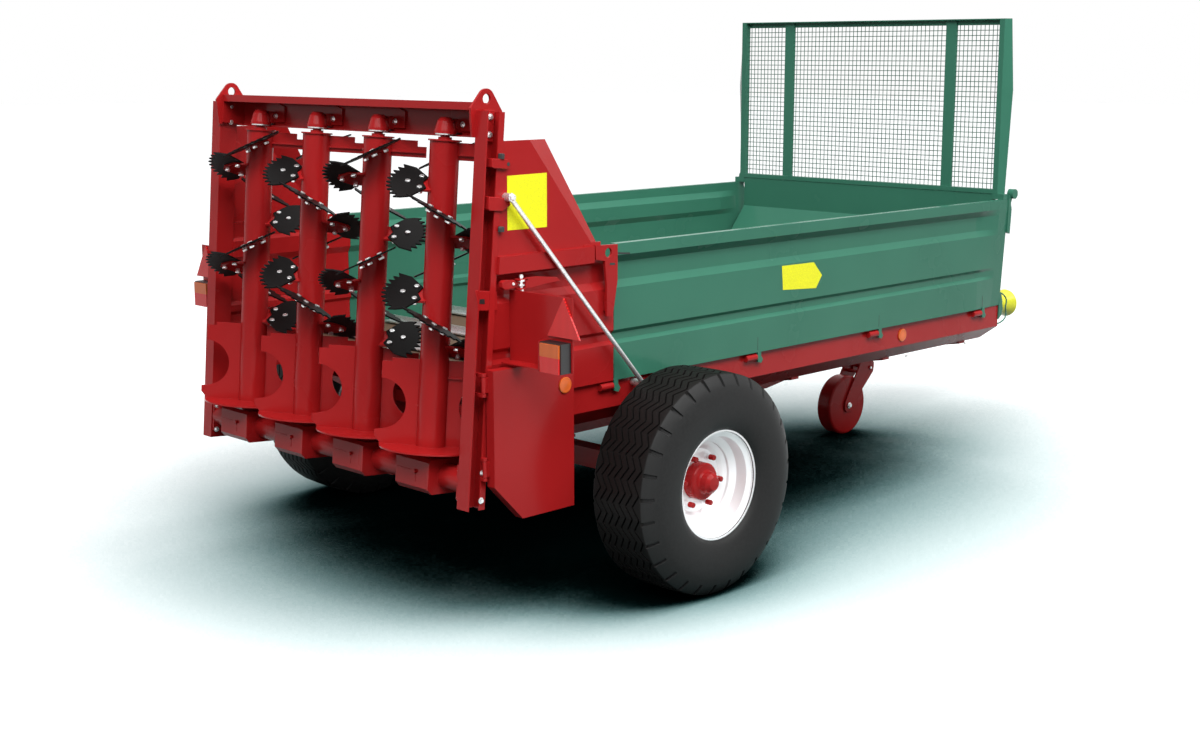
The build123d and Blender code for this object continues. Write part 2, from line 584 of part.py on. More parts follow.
def lower_panel():
    """Right lower panel, ribbed like the boards, under the wing."""
    wall = section([p for p in board_outline(BOARD_FOOT, BOARD_OUT)], lean_x(POST_DEPTH, BOARD_FOOT) + 2, BED_REAR - 2)
    wall &= block(-2000, 0, -2000, 0, BOARD_FOOT - 1, WING_FOOT)
    rear = side_plate([(-1200, BOARD_FOOT - 50), (lean_x(POST_DEPTH, BOARD_FOOT - 50), BOARD_FOOT - 50),
                       (lean_x(POST_DEPTH, WING_FOOT + 50), WING_FOOT + 50), (-1200, WING_FOOT + 50)], -1000, -700)
    foot = side_plate([(lean_x(POST_DEPTH, RAIL_FOOT), RAIL_FOOT), (lean_x(POST_DEPTH, BOARD_FOOT), BOARD_FOOT),
                       (RAIL_REAR, BOARD_FOOT), (RAIL_REAR, RAIL_FOOT)], -RAIL_OUT, -RAIL_OUT + RAIL_WALL)
    return wall - rear + foot


def corner_brackets():
    """Catch plates where wing, lower panel and side board meet."""
    outline = [(-335, 1354), (-219, 1350), (-219, 1215), (-245, 1078), (-276, 1081), (-276, 1195), (-287, 1292),
               (-335, 1300)]
    plate = side_plate(outline, -WING_OUT - 10, -WING_OUT)
    plate += block(-271, -246, -WING_OUT, -BOARD_OUT + 12, 1100, 1170)
    plate -= rod(18, (-268, -1000, 1322), (-268, -700, 1322))
    return group(plate, left_of(plate))


LAMP_X = -800.0
LAMP_IN, LAMP_END = 1062.0, 1166.0


LAMP_FOOT, LAMP_TOP = 966.0, 1068.0


def light_boards():
    """Sheets standing out beside the posts, each with a lamp box and a shelf folded from it."""
    back = LAMP_X + 52
    board = block(back, back + 5, -LAMP_END - 8, -WING_OUT + 13, LAMP_FOOT, 1228)
    board += block(LAMP_X, back + 5, -LAMP_IN + 2, -LAMP_IN + 7, LAMP_FOOT, LAMP_TOP + 5)
    board += block(LAMP_X - 2, back + 5, -LAMP_IN + 2, -WING_OUT, LAMP_FOOT + 4, LAMP_FOOT + 9)
    board += block(back, back + 65, -BOARD_OUT + 6, -BOARD_OUT + 12, 990, 1176)
    return group(board, left_of(board))


def lamp_housings():
    box = block(LAMP_X + 4, LAMP_X + 52, -LAMP_END, -LAMP_IN + 2, LAMP_FOOT, LAMP_TOP + 4)
    return group(box, left_of(box))


def lamp_fields(z0, z1):
    """One field of both lenses, standing proud of the housings."""
    field = block(LAMP_X - 4, LAMP_X + 4, -LAMP_END + 6, -LAMP_IN - 4, z0, z1)
    return group(field, left_of(field))


def triangle_reflectors():
    mid, half, foot, back = -1135.0, 80, 1087, LAMP_X + 52
    face = make_face(Polyline((back - 7, mid - half, foot), (back - 7, mid + half, foot),
                              (back - 7, mid, foot + 139), close=True))
    plate = extrude(face, 7, dir=(1, 0, 0))
    return group(plate, left_of(plate))


GUARD_X, GUARD_Y = -900.0, -880.0     # vertical hinge line of the drive guard
GUARD_KNUCKLES = (862, 556)
LUG_ROOTS = (-POST_IN - POST_WALL, -POST_OUT)       # the upper lugs end on the web, the lower on the lip
KNUCKLE = 85.0
LUG_THICK = 12.0


def guard_box():
    """Right drive guard: a folded sheet cover, open towards the machine, with two hinge knuckles."""
    outline = [(-884, 957), (-490, 957), (-490, 395), (-750, 395), (-884, 533)]
    cover = side_plate(outline, -914, -874)
    inside = [(-879, 952), (-495, 952), (-495, 400), (-747, 400), (-879, 535)]
    cover -= side_plate(inside, -909, -873)
    gap = LUG_THICK + 2
    for z in GUARD_KNUCKLES:
        knuckle = rod(9, (GUARD_X, GUARD_Y, z + gap), (GUARD_X, GUARD_Y, z + KNUCKLE - gap))
        knuckle += block(GUARD_X + 4, -882, GUARD_Y - 6, GUARD_Y + 5, z + gap, z + KNUCKLE - gap)
        cover += knuckle
        cover -= rod(5 + RUNNING, (GUARD_X, GUARD_Y, z), (GUARD_X, GUARD_Y, z + KNUCKLE))
    return cover


def guard_hinges():
    """Pins of the drive guard, each held above and below by a rounded lug on the post."""
    pins = []
    for z, root in zip(GUARD_KNUCKLES, LUG_ROOTS):
        pin = rod(5, (GUARD_X, GUARD_Y, z), (GUARD_X, GUARD_Y, z + KNUCKLE))
        for low in (z, z + KNUCKLE - LUG_THICK):
            pin += rod(9, (GUARD_X, GUARD_Y, low), (GUARD_X, GUARD_Y, low + LUG_THICK))
            pin += block(GUARD_X - 9, GUARD_X + 3, GUARD_Y, root, low, low + LUG_THICK)
        pins.append(pin)
    return group(*pins)


def stay_rods():
    """Silver stays from the wing panels down to the rails, each with an eye at both ends."""
    y, r = -WING_OUT - 26, 9
    stay = rod(r, (-775, y, 1560), (-93, y, 801))
    stay += rod(15, (-775, y - 8, 1560), (-775, -WING_OUT, 1560))
    stay += rod(15, (-93, y - 8, 801), (-93, -RAIL_OUT, 801))
    return group(stay, left_of(stay))


# ---------------------------------------------------------------- front end
PLATE_FRONT = BED_FRONT + 30.0        # face of the cross plate that joins beams and drawbar
BAR_FOOT, BAR_TOP = EYE_Z - 60, EYE_Z + 30
PIVOT_X, PIVOT_Z = 2787.0, 348.0      # where the support wheel's fork folds
EAR_IN, EAR_OUT = 34.0, 44.0          # ears under the drawbar, inside the fork
CHEEK_IN, CHEEK_OUT = 46.5, 54.5      # the fork's two plates
PIN_R = 10.0


def drawbar():
    """Drawbar from the main beams to the hitch plate, with the support wheel's ears and the shaft's rest."""
    z0, z1 = BAR_FOOT, BAR_TOP
    tip = EYE_X - 130
    half = MAIN_BEAM_Y + MAIN_BEAM_W / 2
    bar = plan([(BED_FRONT, -half), (BED_FRONT, -half + 75), (tip, -6), (tip, -62)], z0, z1)
    frame = bar + left_of(bar)
    frame += block(tip - 60, tip + 38, -62, 62, z0 - 6, z1 + 6)
    frame += block(BED_FRONT, PLATE_FRONT, -half, half, MAIN_BEAM_FOOT + 3, z1)
    frame += block(PIVOT_X - 40, PIVOT_X + 40, -245, 245, z0, z1)
    for s in (-1, 1):
        frame += block(PIVOT_X - 30, PIVOT_X + 30, JACK_Y + s * EAR_IN, JACK_Y + s * EAR_OUT, PIVOT_Z - 26, z0)
    frame += rod(PIN_R, (PIVOT_X, JACK_Y - CHEEK_OUT - 6, PIVOT_Z), (PIVOT_X, JACK_Y + CHEEK_OUT + 6, PIVOT_Z))
    rest_x = tip - 60
    hook = block(rest_x - 8, rest_x + 8, -46, -34, SHAFT_Z - 38, z0)
    hook += block(rest_x - 8, rest_x + 8, -46, 46, SHAFT_Z - 42, SHAFT_Z - 30)
    return frame + hook


def hitch_eye():
    """Bolted towing eye."""
    ring = Pos(EYE_X, 0, EYE_Z - 15) * (Cylinder(52, 36) - Cylinder(25, 40))
    shank = block(EYE_X - 92, EYE_X - 46, -34, 34, EYE_Z - 33, EYE_Z + 3)
    flange = block(EYE_X - 92, EYE_X - 80, -60, 60, EYE_Z - 66, EYE_Z + 36)
    return ring + shank + flange


def gearbox():
    """Input gearbox under the cross plate, its bearing nose to the front."""
    x = BED_FRONT
    box = block(x - 70, x + 70, -80, 80, SHAFT_Z - 60, MAIN_BEAM_FOOT + 3)
    nose = rod(40, (x + 70, 0, SHAFT_Z), (x + 105, 0, SHAFT_Z))
    return box + nose - rod(SPLINE_R + RUNNING, (x + 50, 0, SHAFT_Z), (x + 106, 0, SHAFT_Z))


def drive_shaft():
    """Drive shaft: stub in the gearbox, a yoke at each end, the tube between and a splined socket in front."""
    start, end = BED_FRONT + 112, SHAFT_END
    shaft = rod(20, (start, 0, SHAFT_Z), (end, 0, SHAFT_Z))
    shaft += rod(SPLINE_R, (start - 55, 0, SHAFT_Z), (start, 0, SHAFT_Z))
    shaft += rod(36, (start, 0, SHAFT_Z), (start + 44, 0, SHAFT_Z))
    shaft += rod(36, (end - 75, 0, SHAFT_Z), (end, 0, SHAFT_Z))
    return shaft - rod(SPLINE_R, (end - 60, 0, SHAFT_Z), (end + 1, 0, SHAFT_Z))


def shaft_guard():
    """Plastic guard that stands still round the shaft: a tube with a flared cone at each end."""
    rear, front = BED_FRONT + 250, SHAFT_END - 120
    profile = [  # (x, radius) along the outside
        (rear - 120, 84), (rear, 30), (front, 30), (front + 18, 46), (front + 40, 52), (front + 100, 80)]
    inside = [(front + 98, 75), (front + 38, 47), (front + 17, 42), (front - 1, 26), (rear + 1, 26),
              (rear - 118, 79)]
    face = make_face(Polyline(*[(x, r, 0) for x, r in profile + inside], close=True))
    return Pos(0, 0, SHAFT_Z) * revolve(face, Axis.X)


def jack_leg():
    """Fork of the support wheel: two cheek plates, a spacer and the wheel's pin."""
    x, y, z = JACK_X, JACK_Y, JACK_WHEEL_R
    outline = [(x - 16, z - 36), (x + 34, z - 34), (x + 58, z - 8), (2725, 237), (2820, 322), (2826, 348),
               (2826, 372), (2808, 389), (2704, 389), (2692, 365), (2573, 186), (2569, 145)]
    fork = rod(9, (2716, y - CHEEK_OUT, 330), (2716, y + CHEEK_OUT, 330))
    for s in (-1, 1):
        fork += side_plate(outline, y + s * CHEEK_IN, y + s * CHEEK_OUT)
    fork += rod(PIN_R, (x, y - 58, z), (x, y + 58, z))
    return fork - rod(PIN_R + RUNNING, (PIVOT_X, y - 70, PIVOT_Z), (PIVOT_X, y + 70, PIVOT_Z))


def jack_wheel():
    """Broad steel support wheel with a closed face at each side."""
    r, wide = JACK_WHEEL_R, JACK_WHEEL_W / 2
    half = [(PIN_R + RUNNING, wide), (r - 12, wide), (r - 4, wide - 4), (r, wide - 12)]
    wheel = turned_y([(r, -y) for r, y in half] + [(r, y) for r, y in reversed(half)])
    return Pos(JACK_X, JACK_Y, JACK_WHEEL_R) * wheel


# ---------------------------------------------------------------- assembly
def pair(name, right):
    """A right-hand piece and its mirror image, as two nodes."""
    return {name + "_right": right, name + "_left": left_of(right)}


def assembly():
    parts = {}
    for name, build in (("tyre", tyre), ("rim", rim), ("hub", hub)):
        parts[name + "_left"] = build()
        parts[name + "_right"] = left_of(parts[name + "_left"])
    for name, build in (("rail", rail), ("side_board", side_board), ("rear_post", rear_post),
                        ("wing_panel", wing_panel), ("lower_panel", lower_panel)):
        parts.update(pair(name, build()))
    for build in (axle_beam, main_beams, outriggers, cross_members, floor_panel, front_board, mesh_frame, mesh_grid,
                  board_latches, scraper_shafts, scraper_chains, scraper_slats, top_beam, drive_beam,
                  corner_brackets, light_boards, lamp_housings, triangle_reflectors, guard_box, guard_hinges,
                  stay_rods, drawbar, hitch_eye, gearbox, drive_shaft, shaft_guard, jack_leg, jack_wheel):
        parts[build.__name__] = build()
    parts["lamps_amber"] = lamp_fields(1022, LAMP_TOP)
    parts["lamps_red"] = lamp_fields(LAMP_FOOT, 1022)
    parts["bearing_housings"] = group(*[bearing_housing(beater_y(k)) for k in range(BEATER_COUNT)])
    for k in range(BEATER_COUNT):
        right_handed = k % 2 == 0
        hand, first = (1, 225) if right_handed else (-1, 45)
        place = REAR * Pos(BEATER_U, beater_y(k), 0)
        parts[f"beater_{k + 1}"] = place * beater(hand, first)
        parts[f"knives_{k + 1}"] = group(*[place * blade for blade in knives(hand, first)])
    return parts


os.makedirs("parts", exist_ok=True)
for node, shape in assembly().items():
    export_step(Pos(-X_MIDDLE, 0, 0) * shape, f"parts/{node}.step")
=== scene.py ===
"""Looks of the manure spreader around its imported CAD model.  Metres; X forward, Y left, Z up."""
import bpy
import bmesh
import json
import random
from math import cos, pi, radians, sin
from mathutils import Matrix, Vector


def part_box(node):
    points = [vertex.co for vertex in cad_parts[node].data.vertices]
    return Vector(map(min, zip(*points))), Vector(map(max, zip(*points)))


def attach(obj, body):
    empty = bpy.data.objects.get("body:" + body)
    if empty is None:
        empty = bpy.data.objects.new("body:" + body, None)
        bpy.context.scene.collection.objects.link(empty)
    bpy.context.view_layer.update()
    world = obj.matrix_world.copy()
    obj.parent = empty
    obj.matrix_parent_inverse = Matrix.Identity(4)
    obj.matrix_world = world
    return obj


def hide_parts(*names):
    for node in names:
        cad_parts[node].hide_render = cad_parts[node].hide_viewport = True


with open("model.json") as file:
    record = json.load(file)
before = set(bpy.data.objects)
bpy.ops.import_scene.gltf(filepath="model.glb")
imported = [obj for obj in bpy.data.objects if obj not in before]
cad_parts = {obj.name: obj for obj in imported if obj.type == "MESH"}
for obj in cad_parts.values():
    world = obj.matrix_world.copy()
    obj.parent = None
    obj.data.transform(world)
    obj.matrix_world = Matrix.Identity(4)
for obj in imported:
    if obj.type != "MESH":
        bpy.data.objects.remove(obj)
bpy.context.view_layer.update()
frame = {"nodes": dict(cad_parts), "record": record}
random.seed(7)                          # each bolt draws how far its head is turned

NODES = frame["nodes"]


def middle(node):
    """Middle of a CAD node's box."""
    low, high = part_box(node)
    return (low + high) / 2


AXLE = middle("tyre_left").x            # x of the wheel axle; at() and UPRIGHT count x from it
TYRE_Y = 1.076                          # distance of the tyres' middles from the centre line
TREAD_EDGE = (0.1205, 0.1235)           # from a tyre's middle: the tread passes into the shoulder,
SHOULDER_EDGE = (0.140, 0.156)          # and the shoulder into the side wall
LEAN = radians(4.83)                    # the beater frame leans forward at the top
LEAN_X = -1.010                         # x of the frame's rear plane on the ground
REAR = Matrix.Translation((AXLE + LEAN_X, 0, 0)) @ Matrix.Rotation(LEAN, 4, "Y")
BEATER_U = 0.050                        # how far the beaters' axes lie ahead of that plane
BEATER_Y = [middle(f"beater_{k}").y for k in (1, 2, 3, 4)]
UPRIGHT = Matrix.Translation((AXLE, 0, 0))
REARWARDS = -(REAR.to_3x3() @ Vector((1, 0, 0)))        # square to the leaning frame
UPWARDS = REAR.to_3x3() @ Vector((0, 0, 1))             # along it
SIDES = (-1, 1)                         # right and left


def at(x, y, z):
    """Point with x counted from the wheel axle."""
    return Vector((AXLE + x, y, z))


def on_frame(u, y, w):
    """Point of the leaning frame: u forward of its rear plane, w up along it."""
    return REAR @ Vector((u, y, w))


# ---------------------------------------------------------------- materials
def srgb(r, g, b):
    """Linear colour from a display colour."""
    linear = [c / 12.92 if c <= 0.04045 else ((c + 0.055) / 1.055) ** 2.4 for c in (r, g, b)]
    return (*linear, 1.0)


def set_range(node, low, high, start, end):
    """Make a map-range node take start..end to low..high."""
    for key, value in (("From Min", start), ("From Max", end), ("To Min", low), ("To Max", high)):
        node.inputs[key].default_value = value


class Shader:
    """One material, with short ways to add and link its nodes; _ in an input's name is a space."""

    def __init__(self, name):
        self.material = bpy.data.materials.new(name)
        self.material.use_nodes = True
        self.nodes = self.material.node_tree.nodes
        self.links = self.material.node_tree.links
        self.surface = self.nodes["Principled BSDF"]
        self.place = self.add("ShaderNodeTexCoord").outputs["Object"]

    def feed(self, socket, value):
        """Link a socket's value, or set a plain one."""
        if isinstance(value, bpy.types.NodeSocket):
            self.links.new(value, socket)
        else:
            socket.default_value = value

    def add(self, kind, **inputs):
        """New node with the given inputs."""
        node = self.nodes.new(kind)
        for key, value in inputs.items():
            self.feed(node.inputs[key.replace("_", " ")], value)
        return node

    def set(self, **inputs):
        """Set inputs of the surface."""
        for key, value in inputs.items():
            self.feed(self.surface.inputs[key.replace("_", " ")], value)

    def noise(self, scale, detail, stretch=(1, 1, 1)):
        """Cloudy value from 0 to 1."""
        mapping = self.add("ShaderNodeMapping", Vector=self.place, Scale=stretch)
        texture = self.add("ShaderNodeTexNoise", Vector=mapping.outputs[0], Scale=scale,
                           Detail=detail)
        return texture.outputs["Fac"]

    def ramp(self, fac, low, high, start=0.0, end=1.0):
        """Map fac from start..end to low..high."""
        node = self.add("ShaderNodeMapRange", Value=fac)
        set_range(node, low, high, start, end)
        return node.outputs[0]

    def mix(self, fac, a, b):
        """Colour a where fac is 0, b where it is 1."""
        node = self.add("ShaderNodeMix")
        node.data_type = "RGBA"
        for socket, value in ((0, fac), (6, a), (7, b)):        # 6 and 7 are the two colours
            self.feed(node.inputs[socket], value)
        return node.outputs[2]

    def math(self, operation, a, b=0.0):
        """Result of one operation on a and b."""
        node = self.add("ShaderNodeMath")
        node.operation = operation
        self.feed(node.inputs[0], a)
        self.feed(node.inputs[1], b)
        return node.outputs[0]

    def bump(self, height, strength, distance, rounding=0.0):
        """Relief of the surface, with its edges rounded off if wanted."""
        node = self.add("ShaderNodeBump", Height=height, Strength=strength, Distance=distance)
        if rounding:
            edge = self.add("ShaderNodeBevel", Radius=rounding)
            edge.samples = 4
            self.links.new(edge.outputs[0], node.inputs["Normal"])
        self.set(Normal=node.outputs[0])


def paint(name, colour, shade, roughness=0.24, coat=0.04, shine=0.1, metallic=0.0):
    """Sprayed steel: even colour with faint clouding, orange peel and softly rounded edges."""
    s = Shader(name)
    clouds = s.noise(2.4, 4.0)
    s.set(Base_Color=s.mix(s.ramp(clouds, 0.0, 1.0, 0.35, 0.65), srgb(*colour), srgb(*shade)),
          Roughness=s.ramp(clouds, roughness - 0.04, roughness + 0.06, 0.3, 0.7),
          Coat_Weight=coat, Coat_Roughness=0.08, Specular_IOR_Level=shine, Metallic=metallic)
    s.bump(s.noise(420.0, 2.0), 0.08, 0.0005, rounding=0.0018)
    return s.material


def grained(s, fine, colour, darkening):
    """Colour that the fine grain darkens in places."""
    dark = srgb(*[c * darkening for c in colour])
    return s.mix(s.ramp(fine, 0.0, 1.0, 0.3, 0.7), srgb(*colour), dark)


def steel(name, colour, roughness, metallic):
    """Bare or zinc-plated metal with a fine grain."""
    s = Shader(name)
    fine = s.noise(160.0, 5.0)
    s.set(Base_Color=grained(s, fine, colour, 0.78), Metallic=metallic,
          Roughness=s.ramp(fine, roughness - 0.06, roughness + 0.1, 0.3, 0.7))
    s.bump(fine, 0.15, 0.0004, rounding=0.0008)
    return s.material


def plastic(name, colour, roughness):
    """Plastic, film or dark steel: even colour with a faint grain."""
    s = Shader(name)
    fine = s.noise(300.0, 3.0)
    s.set(Base_Color=grained(s, fine, colour, 0.9), Roughness=roughness)
    s.bump(fine, 0.15, 0.0004, rounding=0.0012)
    return s.material


def rubber(name):
    """Smooth side walls, polished shoulders and a duller tread; tread and shoulders are painted
    darker than the walls as painted shade.
    """
    s = Shader(name)
    fine = s.noise(90.0, 8.0)
    split = s.add("ShaderNodeSeparateXYZ", Vector=s.place)
    outward = s.math("SUBTRACT", s.math("ABSOLUTE", split.outputs["Y"]), TYRE_Y)
    across = s.math("ABSOLUTE", outward)
    tread = s.ramp(across, 1.0, 0.0, *TREAD_EDGE)
    shoulder = s.math("MULTIPLY", s.ramp(across, 0.0, 1.0, *TREAD_EDGE),
                      s.ramp(across, 1.0, 0.0, *SHOULDER_EDGE))
    wall_colour = s.mix(s.ramp(fine, 0.0, 1.0, 0.35, 0.7), srgb(0.15, 0.15, 0.15),
                        srgb(0.17, 0.17, 0.17))
    # painted shade: the tread gets a darker colour than the side wall, standing in for the shade
    # on it
    wall_and_shaded_tread = s.mix(tread, wall_colour, srgb(0.095, 0.088, 0.086))
    shine = s.math("ADD", s.ramp(tread, 0.09, 0.08), s.math("MULTIPLY", shoulder, 0.06))
    # painted shade: the shoulders are also a little darker than the walls, against the light from
    # above
    s.set(Base_Color=s.mix(shoulder, wall_and_shaded_tread, srgb(0.14, 0.14, 0.14)),
          Roughness=s.ramp(fine, 0.42, 0.55, 0.3, 0.7), Specular_IOR_Level=shine)
    s.bump(s.noise(600.0, 3.0), 0.25, 0.0006)
    return s.material


def lens(name, colour):
    """Prismatic lamp lens: fine vertical ribs under a glossy face."""
    s = Shader(name)
    wave = s.add("ShaderNodeTexWave", Vector=s.place, Scale=55.0)
    wave.bands_direction = "Y"
    ribs = wave.outputs["Fac"]
    s.set(Base_Color=s.mix(ribs, srgb(*colour), srgb(*[c * 0.72 for c in colour])),
          Roughness=0.25, Coat_Weight=0.15, Coat_Roughness=0.05, Specular_IOR_Level=0.2)
    s.bump(ribs, 0.2, 0.001)
    return s.material


def timber(name):
    """Rough brown boards, their grain running lengthwise."""
    s = Shader(name)
    grain = s.noise(26.0, 6.0, (0.12, 4.0, 1.0))
    s.set(Base_Color=s.mix(grain, srgb(0.42, 0.31, 0.22), srgb(0.25, 0.18, 0.13)), Roughness=0.7)
    s.bump(grain, 0.4, 0.002)
    return s.material


RED, RED_SHADE = (0.665, 0.12, 0.125), (0.635, 0.108, 0.113)
GREEN, GREEN_SHADE = (0.235, 0.47, 0.385), (0.225, 0.45, 0.37)
LOOKS = {
    "red_paint": paint("red paint", RED, RED_SHADE),
    "green_paint": paint("green paint", GREEN, GREEN_SHADE),
    "zinc_steel": steel("zinc", (0.95, 0.95, 0.95), 0.3, metallic=0.7),
    "hardened_steel": paint("blackened steel", (0.065, 0.058, 0.058), (0.085, 0.078, 0.078),
                            roughness=0.45, coat=0.0, shine=0.06),
    "floor_boards": timber("bed boards"),
    "rim_paint": paint("rim enamel", (0.975, 0.975, 0.98), (0.96, 0.96, 0.965),
                       roughness=0.4, coat=0.1, shine=0.5, metallic=0.4),
    "tyre_rubber": rubber("tyre rubber"),
    "black_plastic": plastic("lamp black", (0.07, 0.07, 0.075), 0.45),
    "yellow_plastic": plastic("guard yellow", (0.95, 0.95, 0.2), 0.3),
    "amber_lens": lens("amber lens", (0.92, 0.43, 0.17)),
    "red_lens": lens("red lens", (0.93, 0.17, 0.17)),
}
YELLOW_FILM = plastic("yellow film", (1.0, 0.99, 0.06), 0.45)
BOLT_STEEL = steel("bolt zinc", (0.98, 0.98, 0.98), 0.3, metallic=0.85)
# dark nuts, and also the painted shade of the holes and slots in the posts' lugs and plates
DARK_STEEL_AND_HOLE_SHADE = plastic("blackened nuts", (0.1, 0.08, 0.08), 0.4)
# painted shade: dark films laid where slots, slits and gaps are
PAINTED_SLIT_SHADE = plastic("shaded gaps", (0.06, 0.1, 0.085), 0.6)
WIRE = paint("mesh green", (0.22, 0.42, 0.35), (0.2, 0.39, 0.32), 0.35)


def dress_frame():
    """Give every CAD node the finish of its slot."""
    for entry in frame["record"]["subparts"]:
        node = NODES[entry["node"]]
        node.data.materials.clear()
        node.data.materials.append(LOOKS[entry["material_slot"]])


# ---------------------------------------------------------------- mesh helpers
def finish_piece(name, bm, body, slot, material=None, smooth=30, bevel=0.0, replaced=()):
    """Make one object of the bmesh, riding on a body; edges sharper than smooth stay sharp."""
    bmesh.ops.recalc_face_normals(bm, faces=bm.faces)
    mesh = bpy.data.meshes.new(name)
    bm.to_mesh(mesh)
    bm.free()
    mesh.materials.append(material or LOOKS[slot])
    piece = bpy.data.objects.new(name, mesh)
    bpy.context.scene.collection.objects.link(piece)
    if smooth:
        mesh.polygons.foreach_set("use_smooth", [True] * len(mesh.polygons))
        mesh.set_sharp_from_angle(angle=radians(smooth))
    if bevel:
        modifier = piece.modifiers.new("edges", "BEVEL")
        modifier.width = bevel
        modifier.segments = 2
        modifier.limit_method = "ANGLE"
    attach(piece, body)
    if replaced:
        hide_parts(*replaced)


def add_ring_stack(bm, rings, joined=False):
    """Faces between rings of points, whose ends are capped, or joined to each other."""
    rows = [[bm.verts.new(p) for p in ring] for ring in rings]
    n = len(rows[0])
    for a, b in zip(rows, rows[1:] + (rows[:1] if joined else [])):
        for k in range(n):
            bm.faces.new((a[k], a[(k + 1) % n], b[(k + 1) % n], b[k]))
    if not joined:
        bm.faces.new(rows[0])
        bm.faces.new(rows[-1])


def add_turned(bm, place, profile, sides, joined=False):
    """Outline of (radius, height) points turned about the local z axis of place."""
    turns = [2 * pi * k / sides for k in range(sides)]
    rings = [[place @ Vector((r * cos(a), r * sin(a), h)) for a in turns] for r, h in profile]
    add_ring_stack(bm, rings, joined)


def add_box(bm, place, size, centre):
    """Box of a size, its centre and edges along place's axes."""
    made = bmesh.ops.create_cube(bm, size=1.0)["verts"]
    for v in made:
        v.co = place @ Vector([c + s * p for c, s, p in zip(centre, size, v.co)])


def add_side_plate(bm, place, outline, y0, y1):
    """Outline of (x, z) points of place, from y0 to y1."""
    add_ring_stack(bm, [[place @ Vector((x, y, z)) for x, z in outline] for y in (y0, y1)])


def axes(origin, z_dir):
    """Matrix with its z along z_dir and its x as near to upright as it can be."""
    z = Vector(z_dir).normalized()
    x = Vector((0, 0, 1))
    x = x - z * x.dot(z)
    if x.length < 1e-6:
        x = z.orthogonal()
    x.normalize()
    y = z.cross(x)
    return Matrix.Translation(Vector(origin)) @ Matrix((x, y, z)).transposed().to_4x4()


WASHER = 0.0018                         # thickness of a bolt's washer


def add_bolt(bm, origin, z_dir, size, head, washer=True):
    """Hexagon head, on a washer if wanted; size is half its width across the corners."""
    place = axes(origin, z_dir) @ Matrix.Rotation(random.uniform(0, 1), 4, "Z")
    base = 0.0
    if washer:
        base = WASHER
        add_turned(bm, place, [(size * 1.35, 0), (size * 1.35, base), (size * 0.7, 0.002)], 16)
    add_turned(bm, place, [(size, base), (size, base + head * 0.8), (size * 0.84, base + head)], 6)


def add_rod(bm, start, end, radius, sides=16):
    """Round bar between two points."""
    start, end = Vector(start), Vector(end)
    add_turned(bm, axes(start, end - start), [(radius, 0), (radius, (end - start).length)], sides)


# ---------------------------------------------------------------- wheels
WAVES = 29                              # zigzags round the tyre
ZIGZAG = 0.0155                         # how far they swing to each side,
CORNER = 0.94                           # cut off at this share of it
FIRST_WAVE = 0.148                      # turn of the pattern; this and the notches are in waves
GROOVES = [0.0325 * k for k in (-3, -2, -1, 0, 1, 2, 3)]
GROOVE_TOP, GROOVE_FLOOR = 0.0042, 0.0026               # half widths
GROOVE_DEPTH = 0.011
NOTCH_AT = 0.157                        # of the outer shoulder; the inner's is half a wave on
NOTCH_TOP, NOTCH_FLOOR = 0.092, 0.062   # half widths
NOTCH_DEPTH = 0.014
BEAD_R = 0.215                          # radius of the tyre's bead on the rim
WALL = (                                # up the side wall: (from the bead, share of half width)
    (-0.008, 0.78), (0.001, 0.80), (0.008, 0.86), (0.020, 0.915), (0.040, 0.958),
    (0.065, 0.988), (0.090, 1.0), (0.115, 1.0), (0.135, 0.988), (0.152, 0.966))
STUDS = 6
STUD_CIRCLE = 0.1025                    # radius of the studs' circle
FIRST_STUD = 5                          # degrees
STUD_Y = 1.088                          # where their washers sit


def wave_steps():
    """Places of the mesh's columns within one wave, closer at the notches and the corners."""
    steps = [0.0, 0.03, 0.3, 0.4, 0.46, 0.5, 0.53, 0.8, 0.9, 0.96]
    for centre in (NOTCH_AT, NOTCH_AT + 0.5):
        for share in (NOTCH_TOP, NOTCH_FLOOR):
            steps += [centre - share, centre + share]
    return sorted(steps)


def zigzag(phase):
    """Swing at a place in the wave, as a share of ZIGZAG."""
    return max(-CORNER, min(CORNER, abs(phase - 0.5) * 4 - 1))


def crown_drop(w):
    """How far the tread has curved inwards at w from its middle."""
    return 0.0005 + 0.004 * (w / 0.12) ** 2


def tread_rows():
    """Rows across the tread: (place, radius loss, share of the zigzag, share of the notch)."""
    rows = []
    for centre in GROOVES:
        for w, cut in ((centre - GROOVE_TOP, 0), (centre - GROOVE_FLOOR, 1),
                       (centre + GROOVE_FLOOR, 1), (centre + GROOVE_TOP, 0)):
            rows.append((w, cut * GROOVE_DEPTH + crown_drop(w), 1.0, 0.0))
    start, end = TREAD_EDGE
    edge = [(0.1175, crown_drop(0.1175), 0.0, 0.0), (start, crown_drop(start) + 0.0006, 0.0, 0.7),
            (end, crown_drop(end) + 0.003, 0.0, 1.0), (0.132, 0.0185, 0.0, 1.0),
            (0.140, 0.0300, 0.0, 1.0), (0.1465, 0.0405, 0.0, 0.75), (0.1505, 0.0490, 0.0, 0.0)]
    return [(-w, drop, z, n) for w, drop, z, n in reversed(edge)] + rows + edge


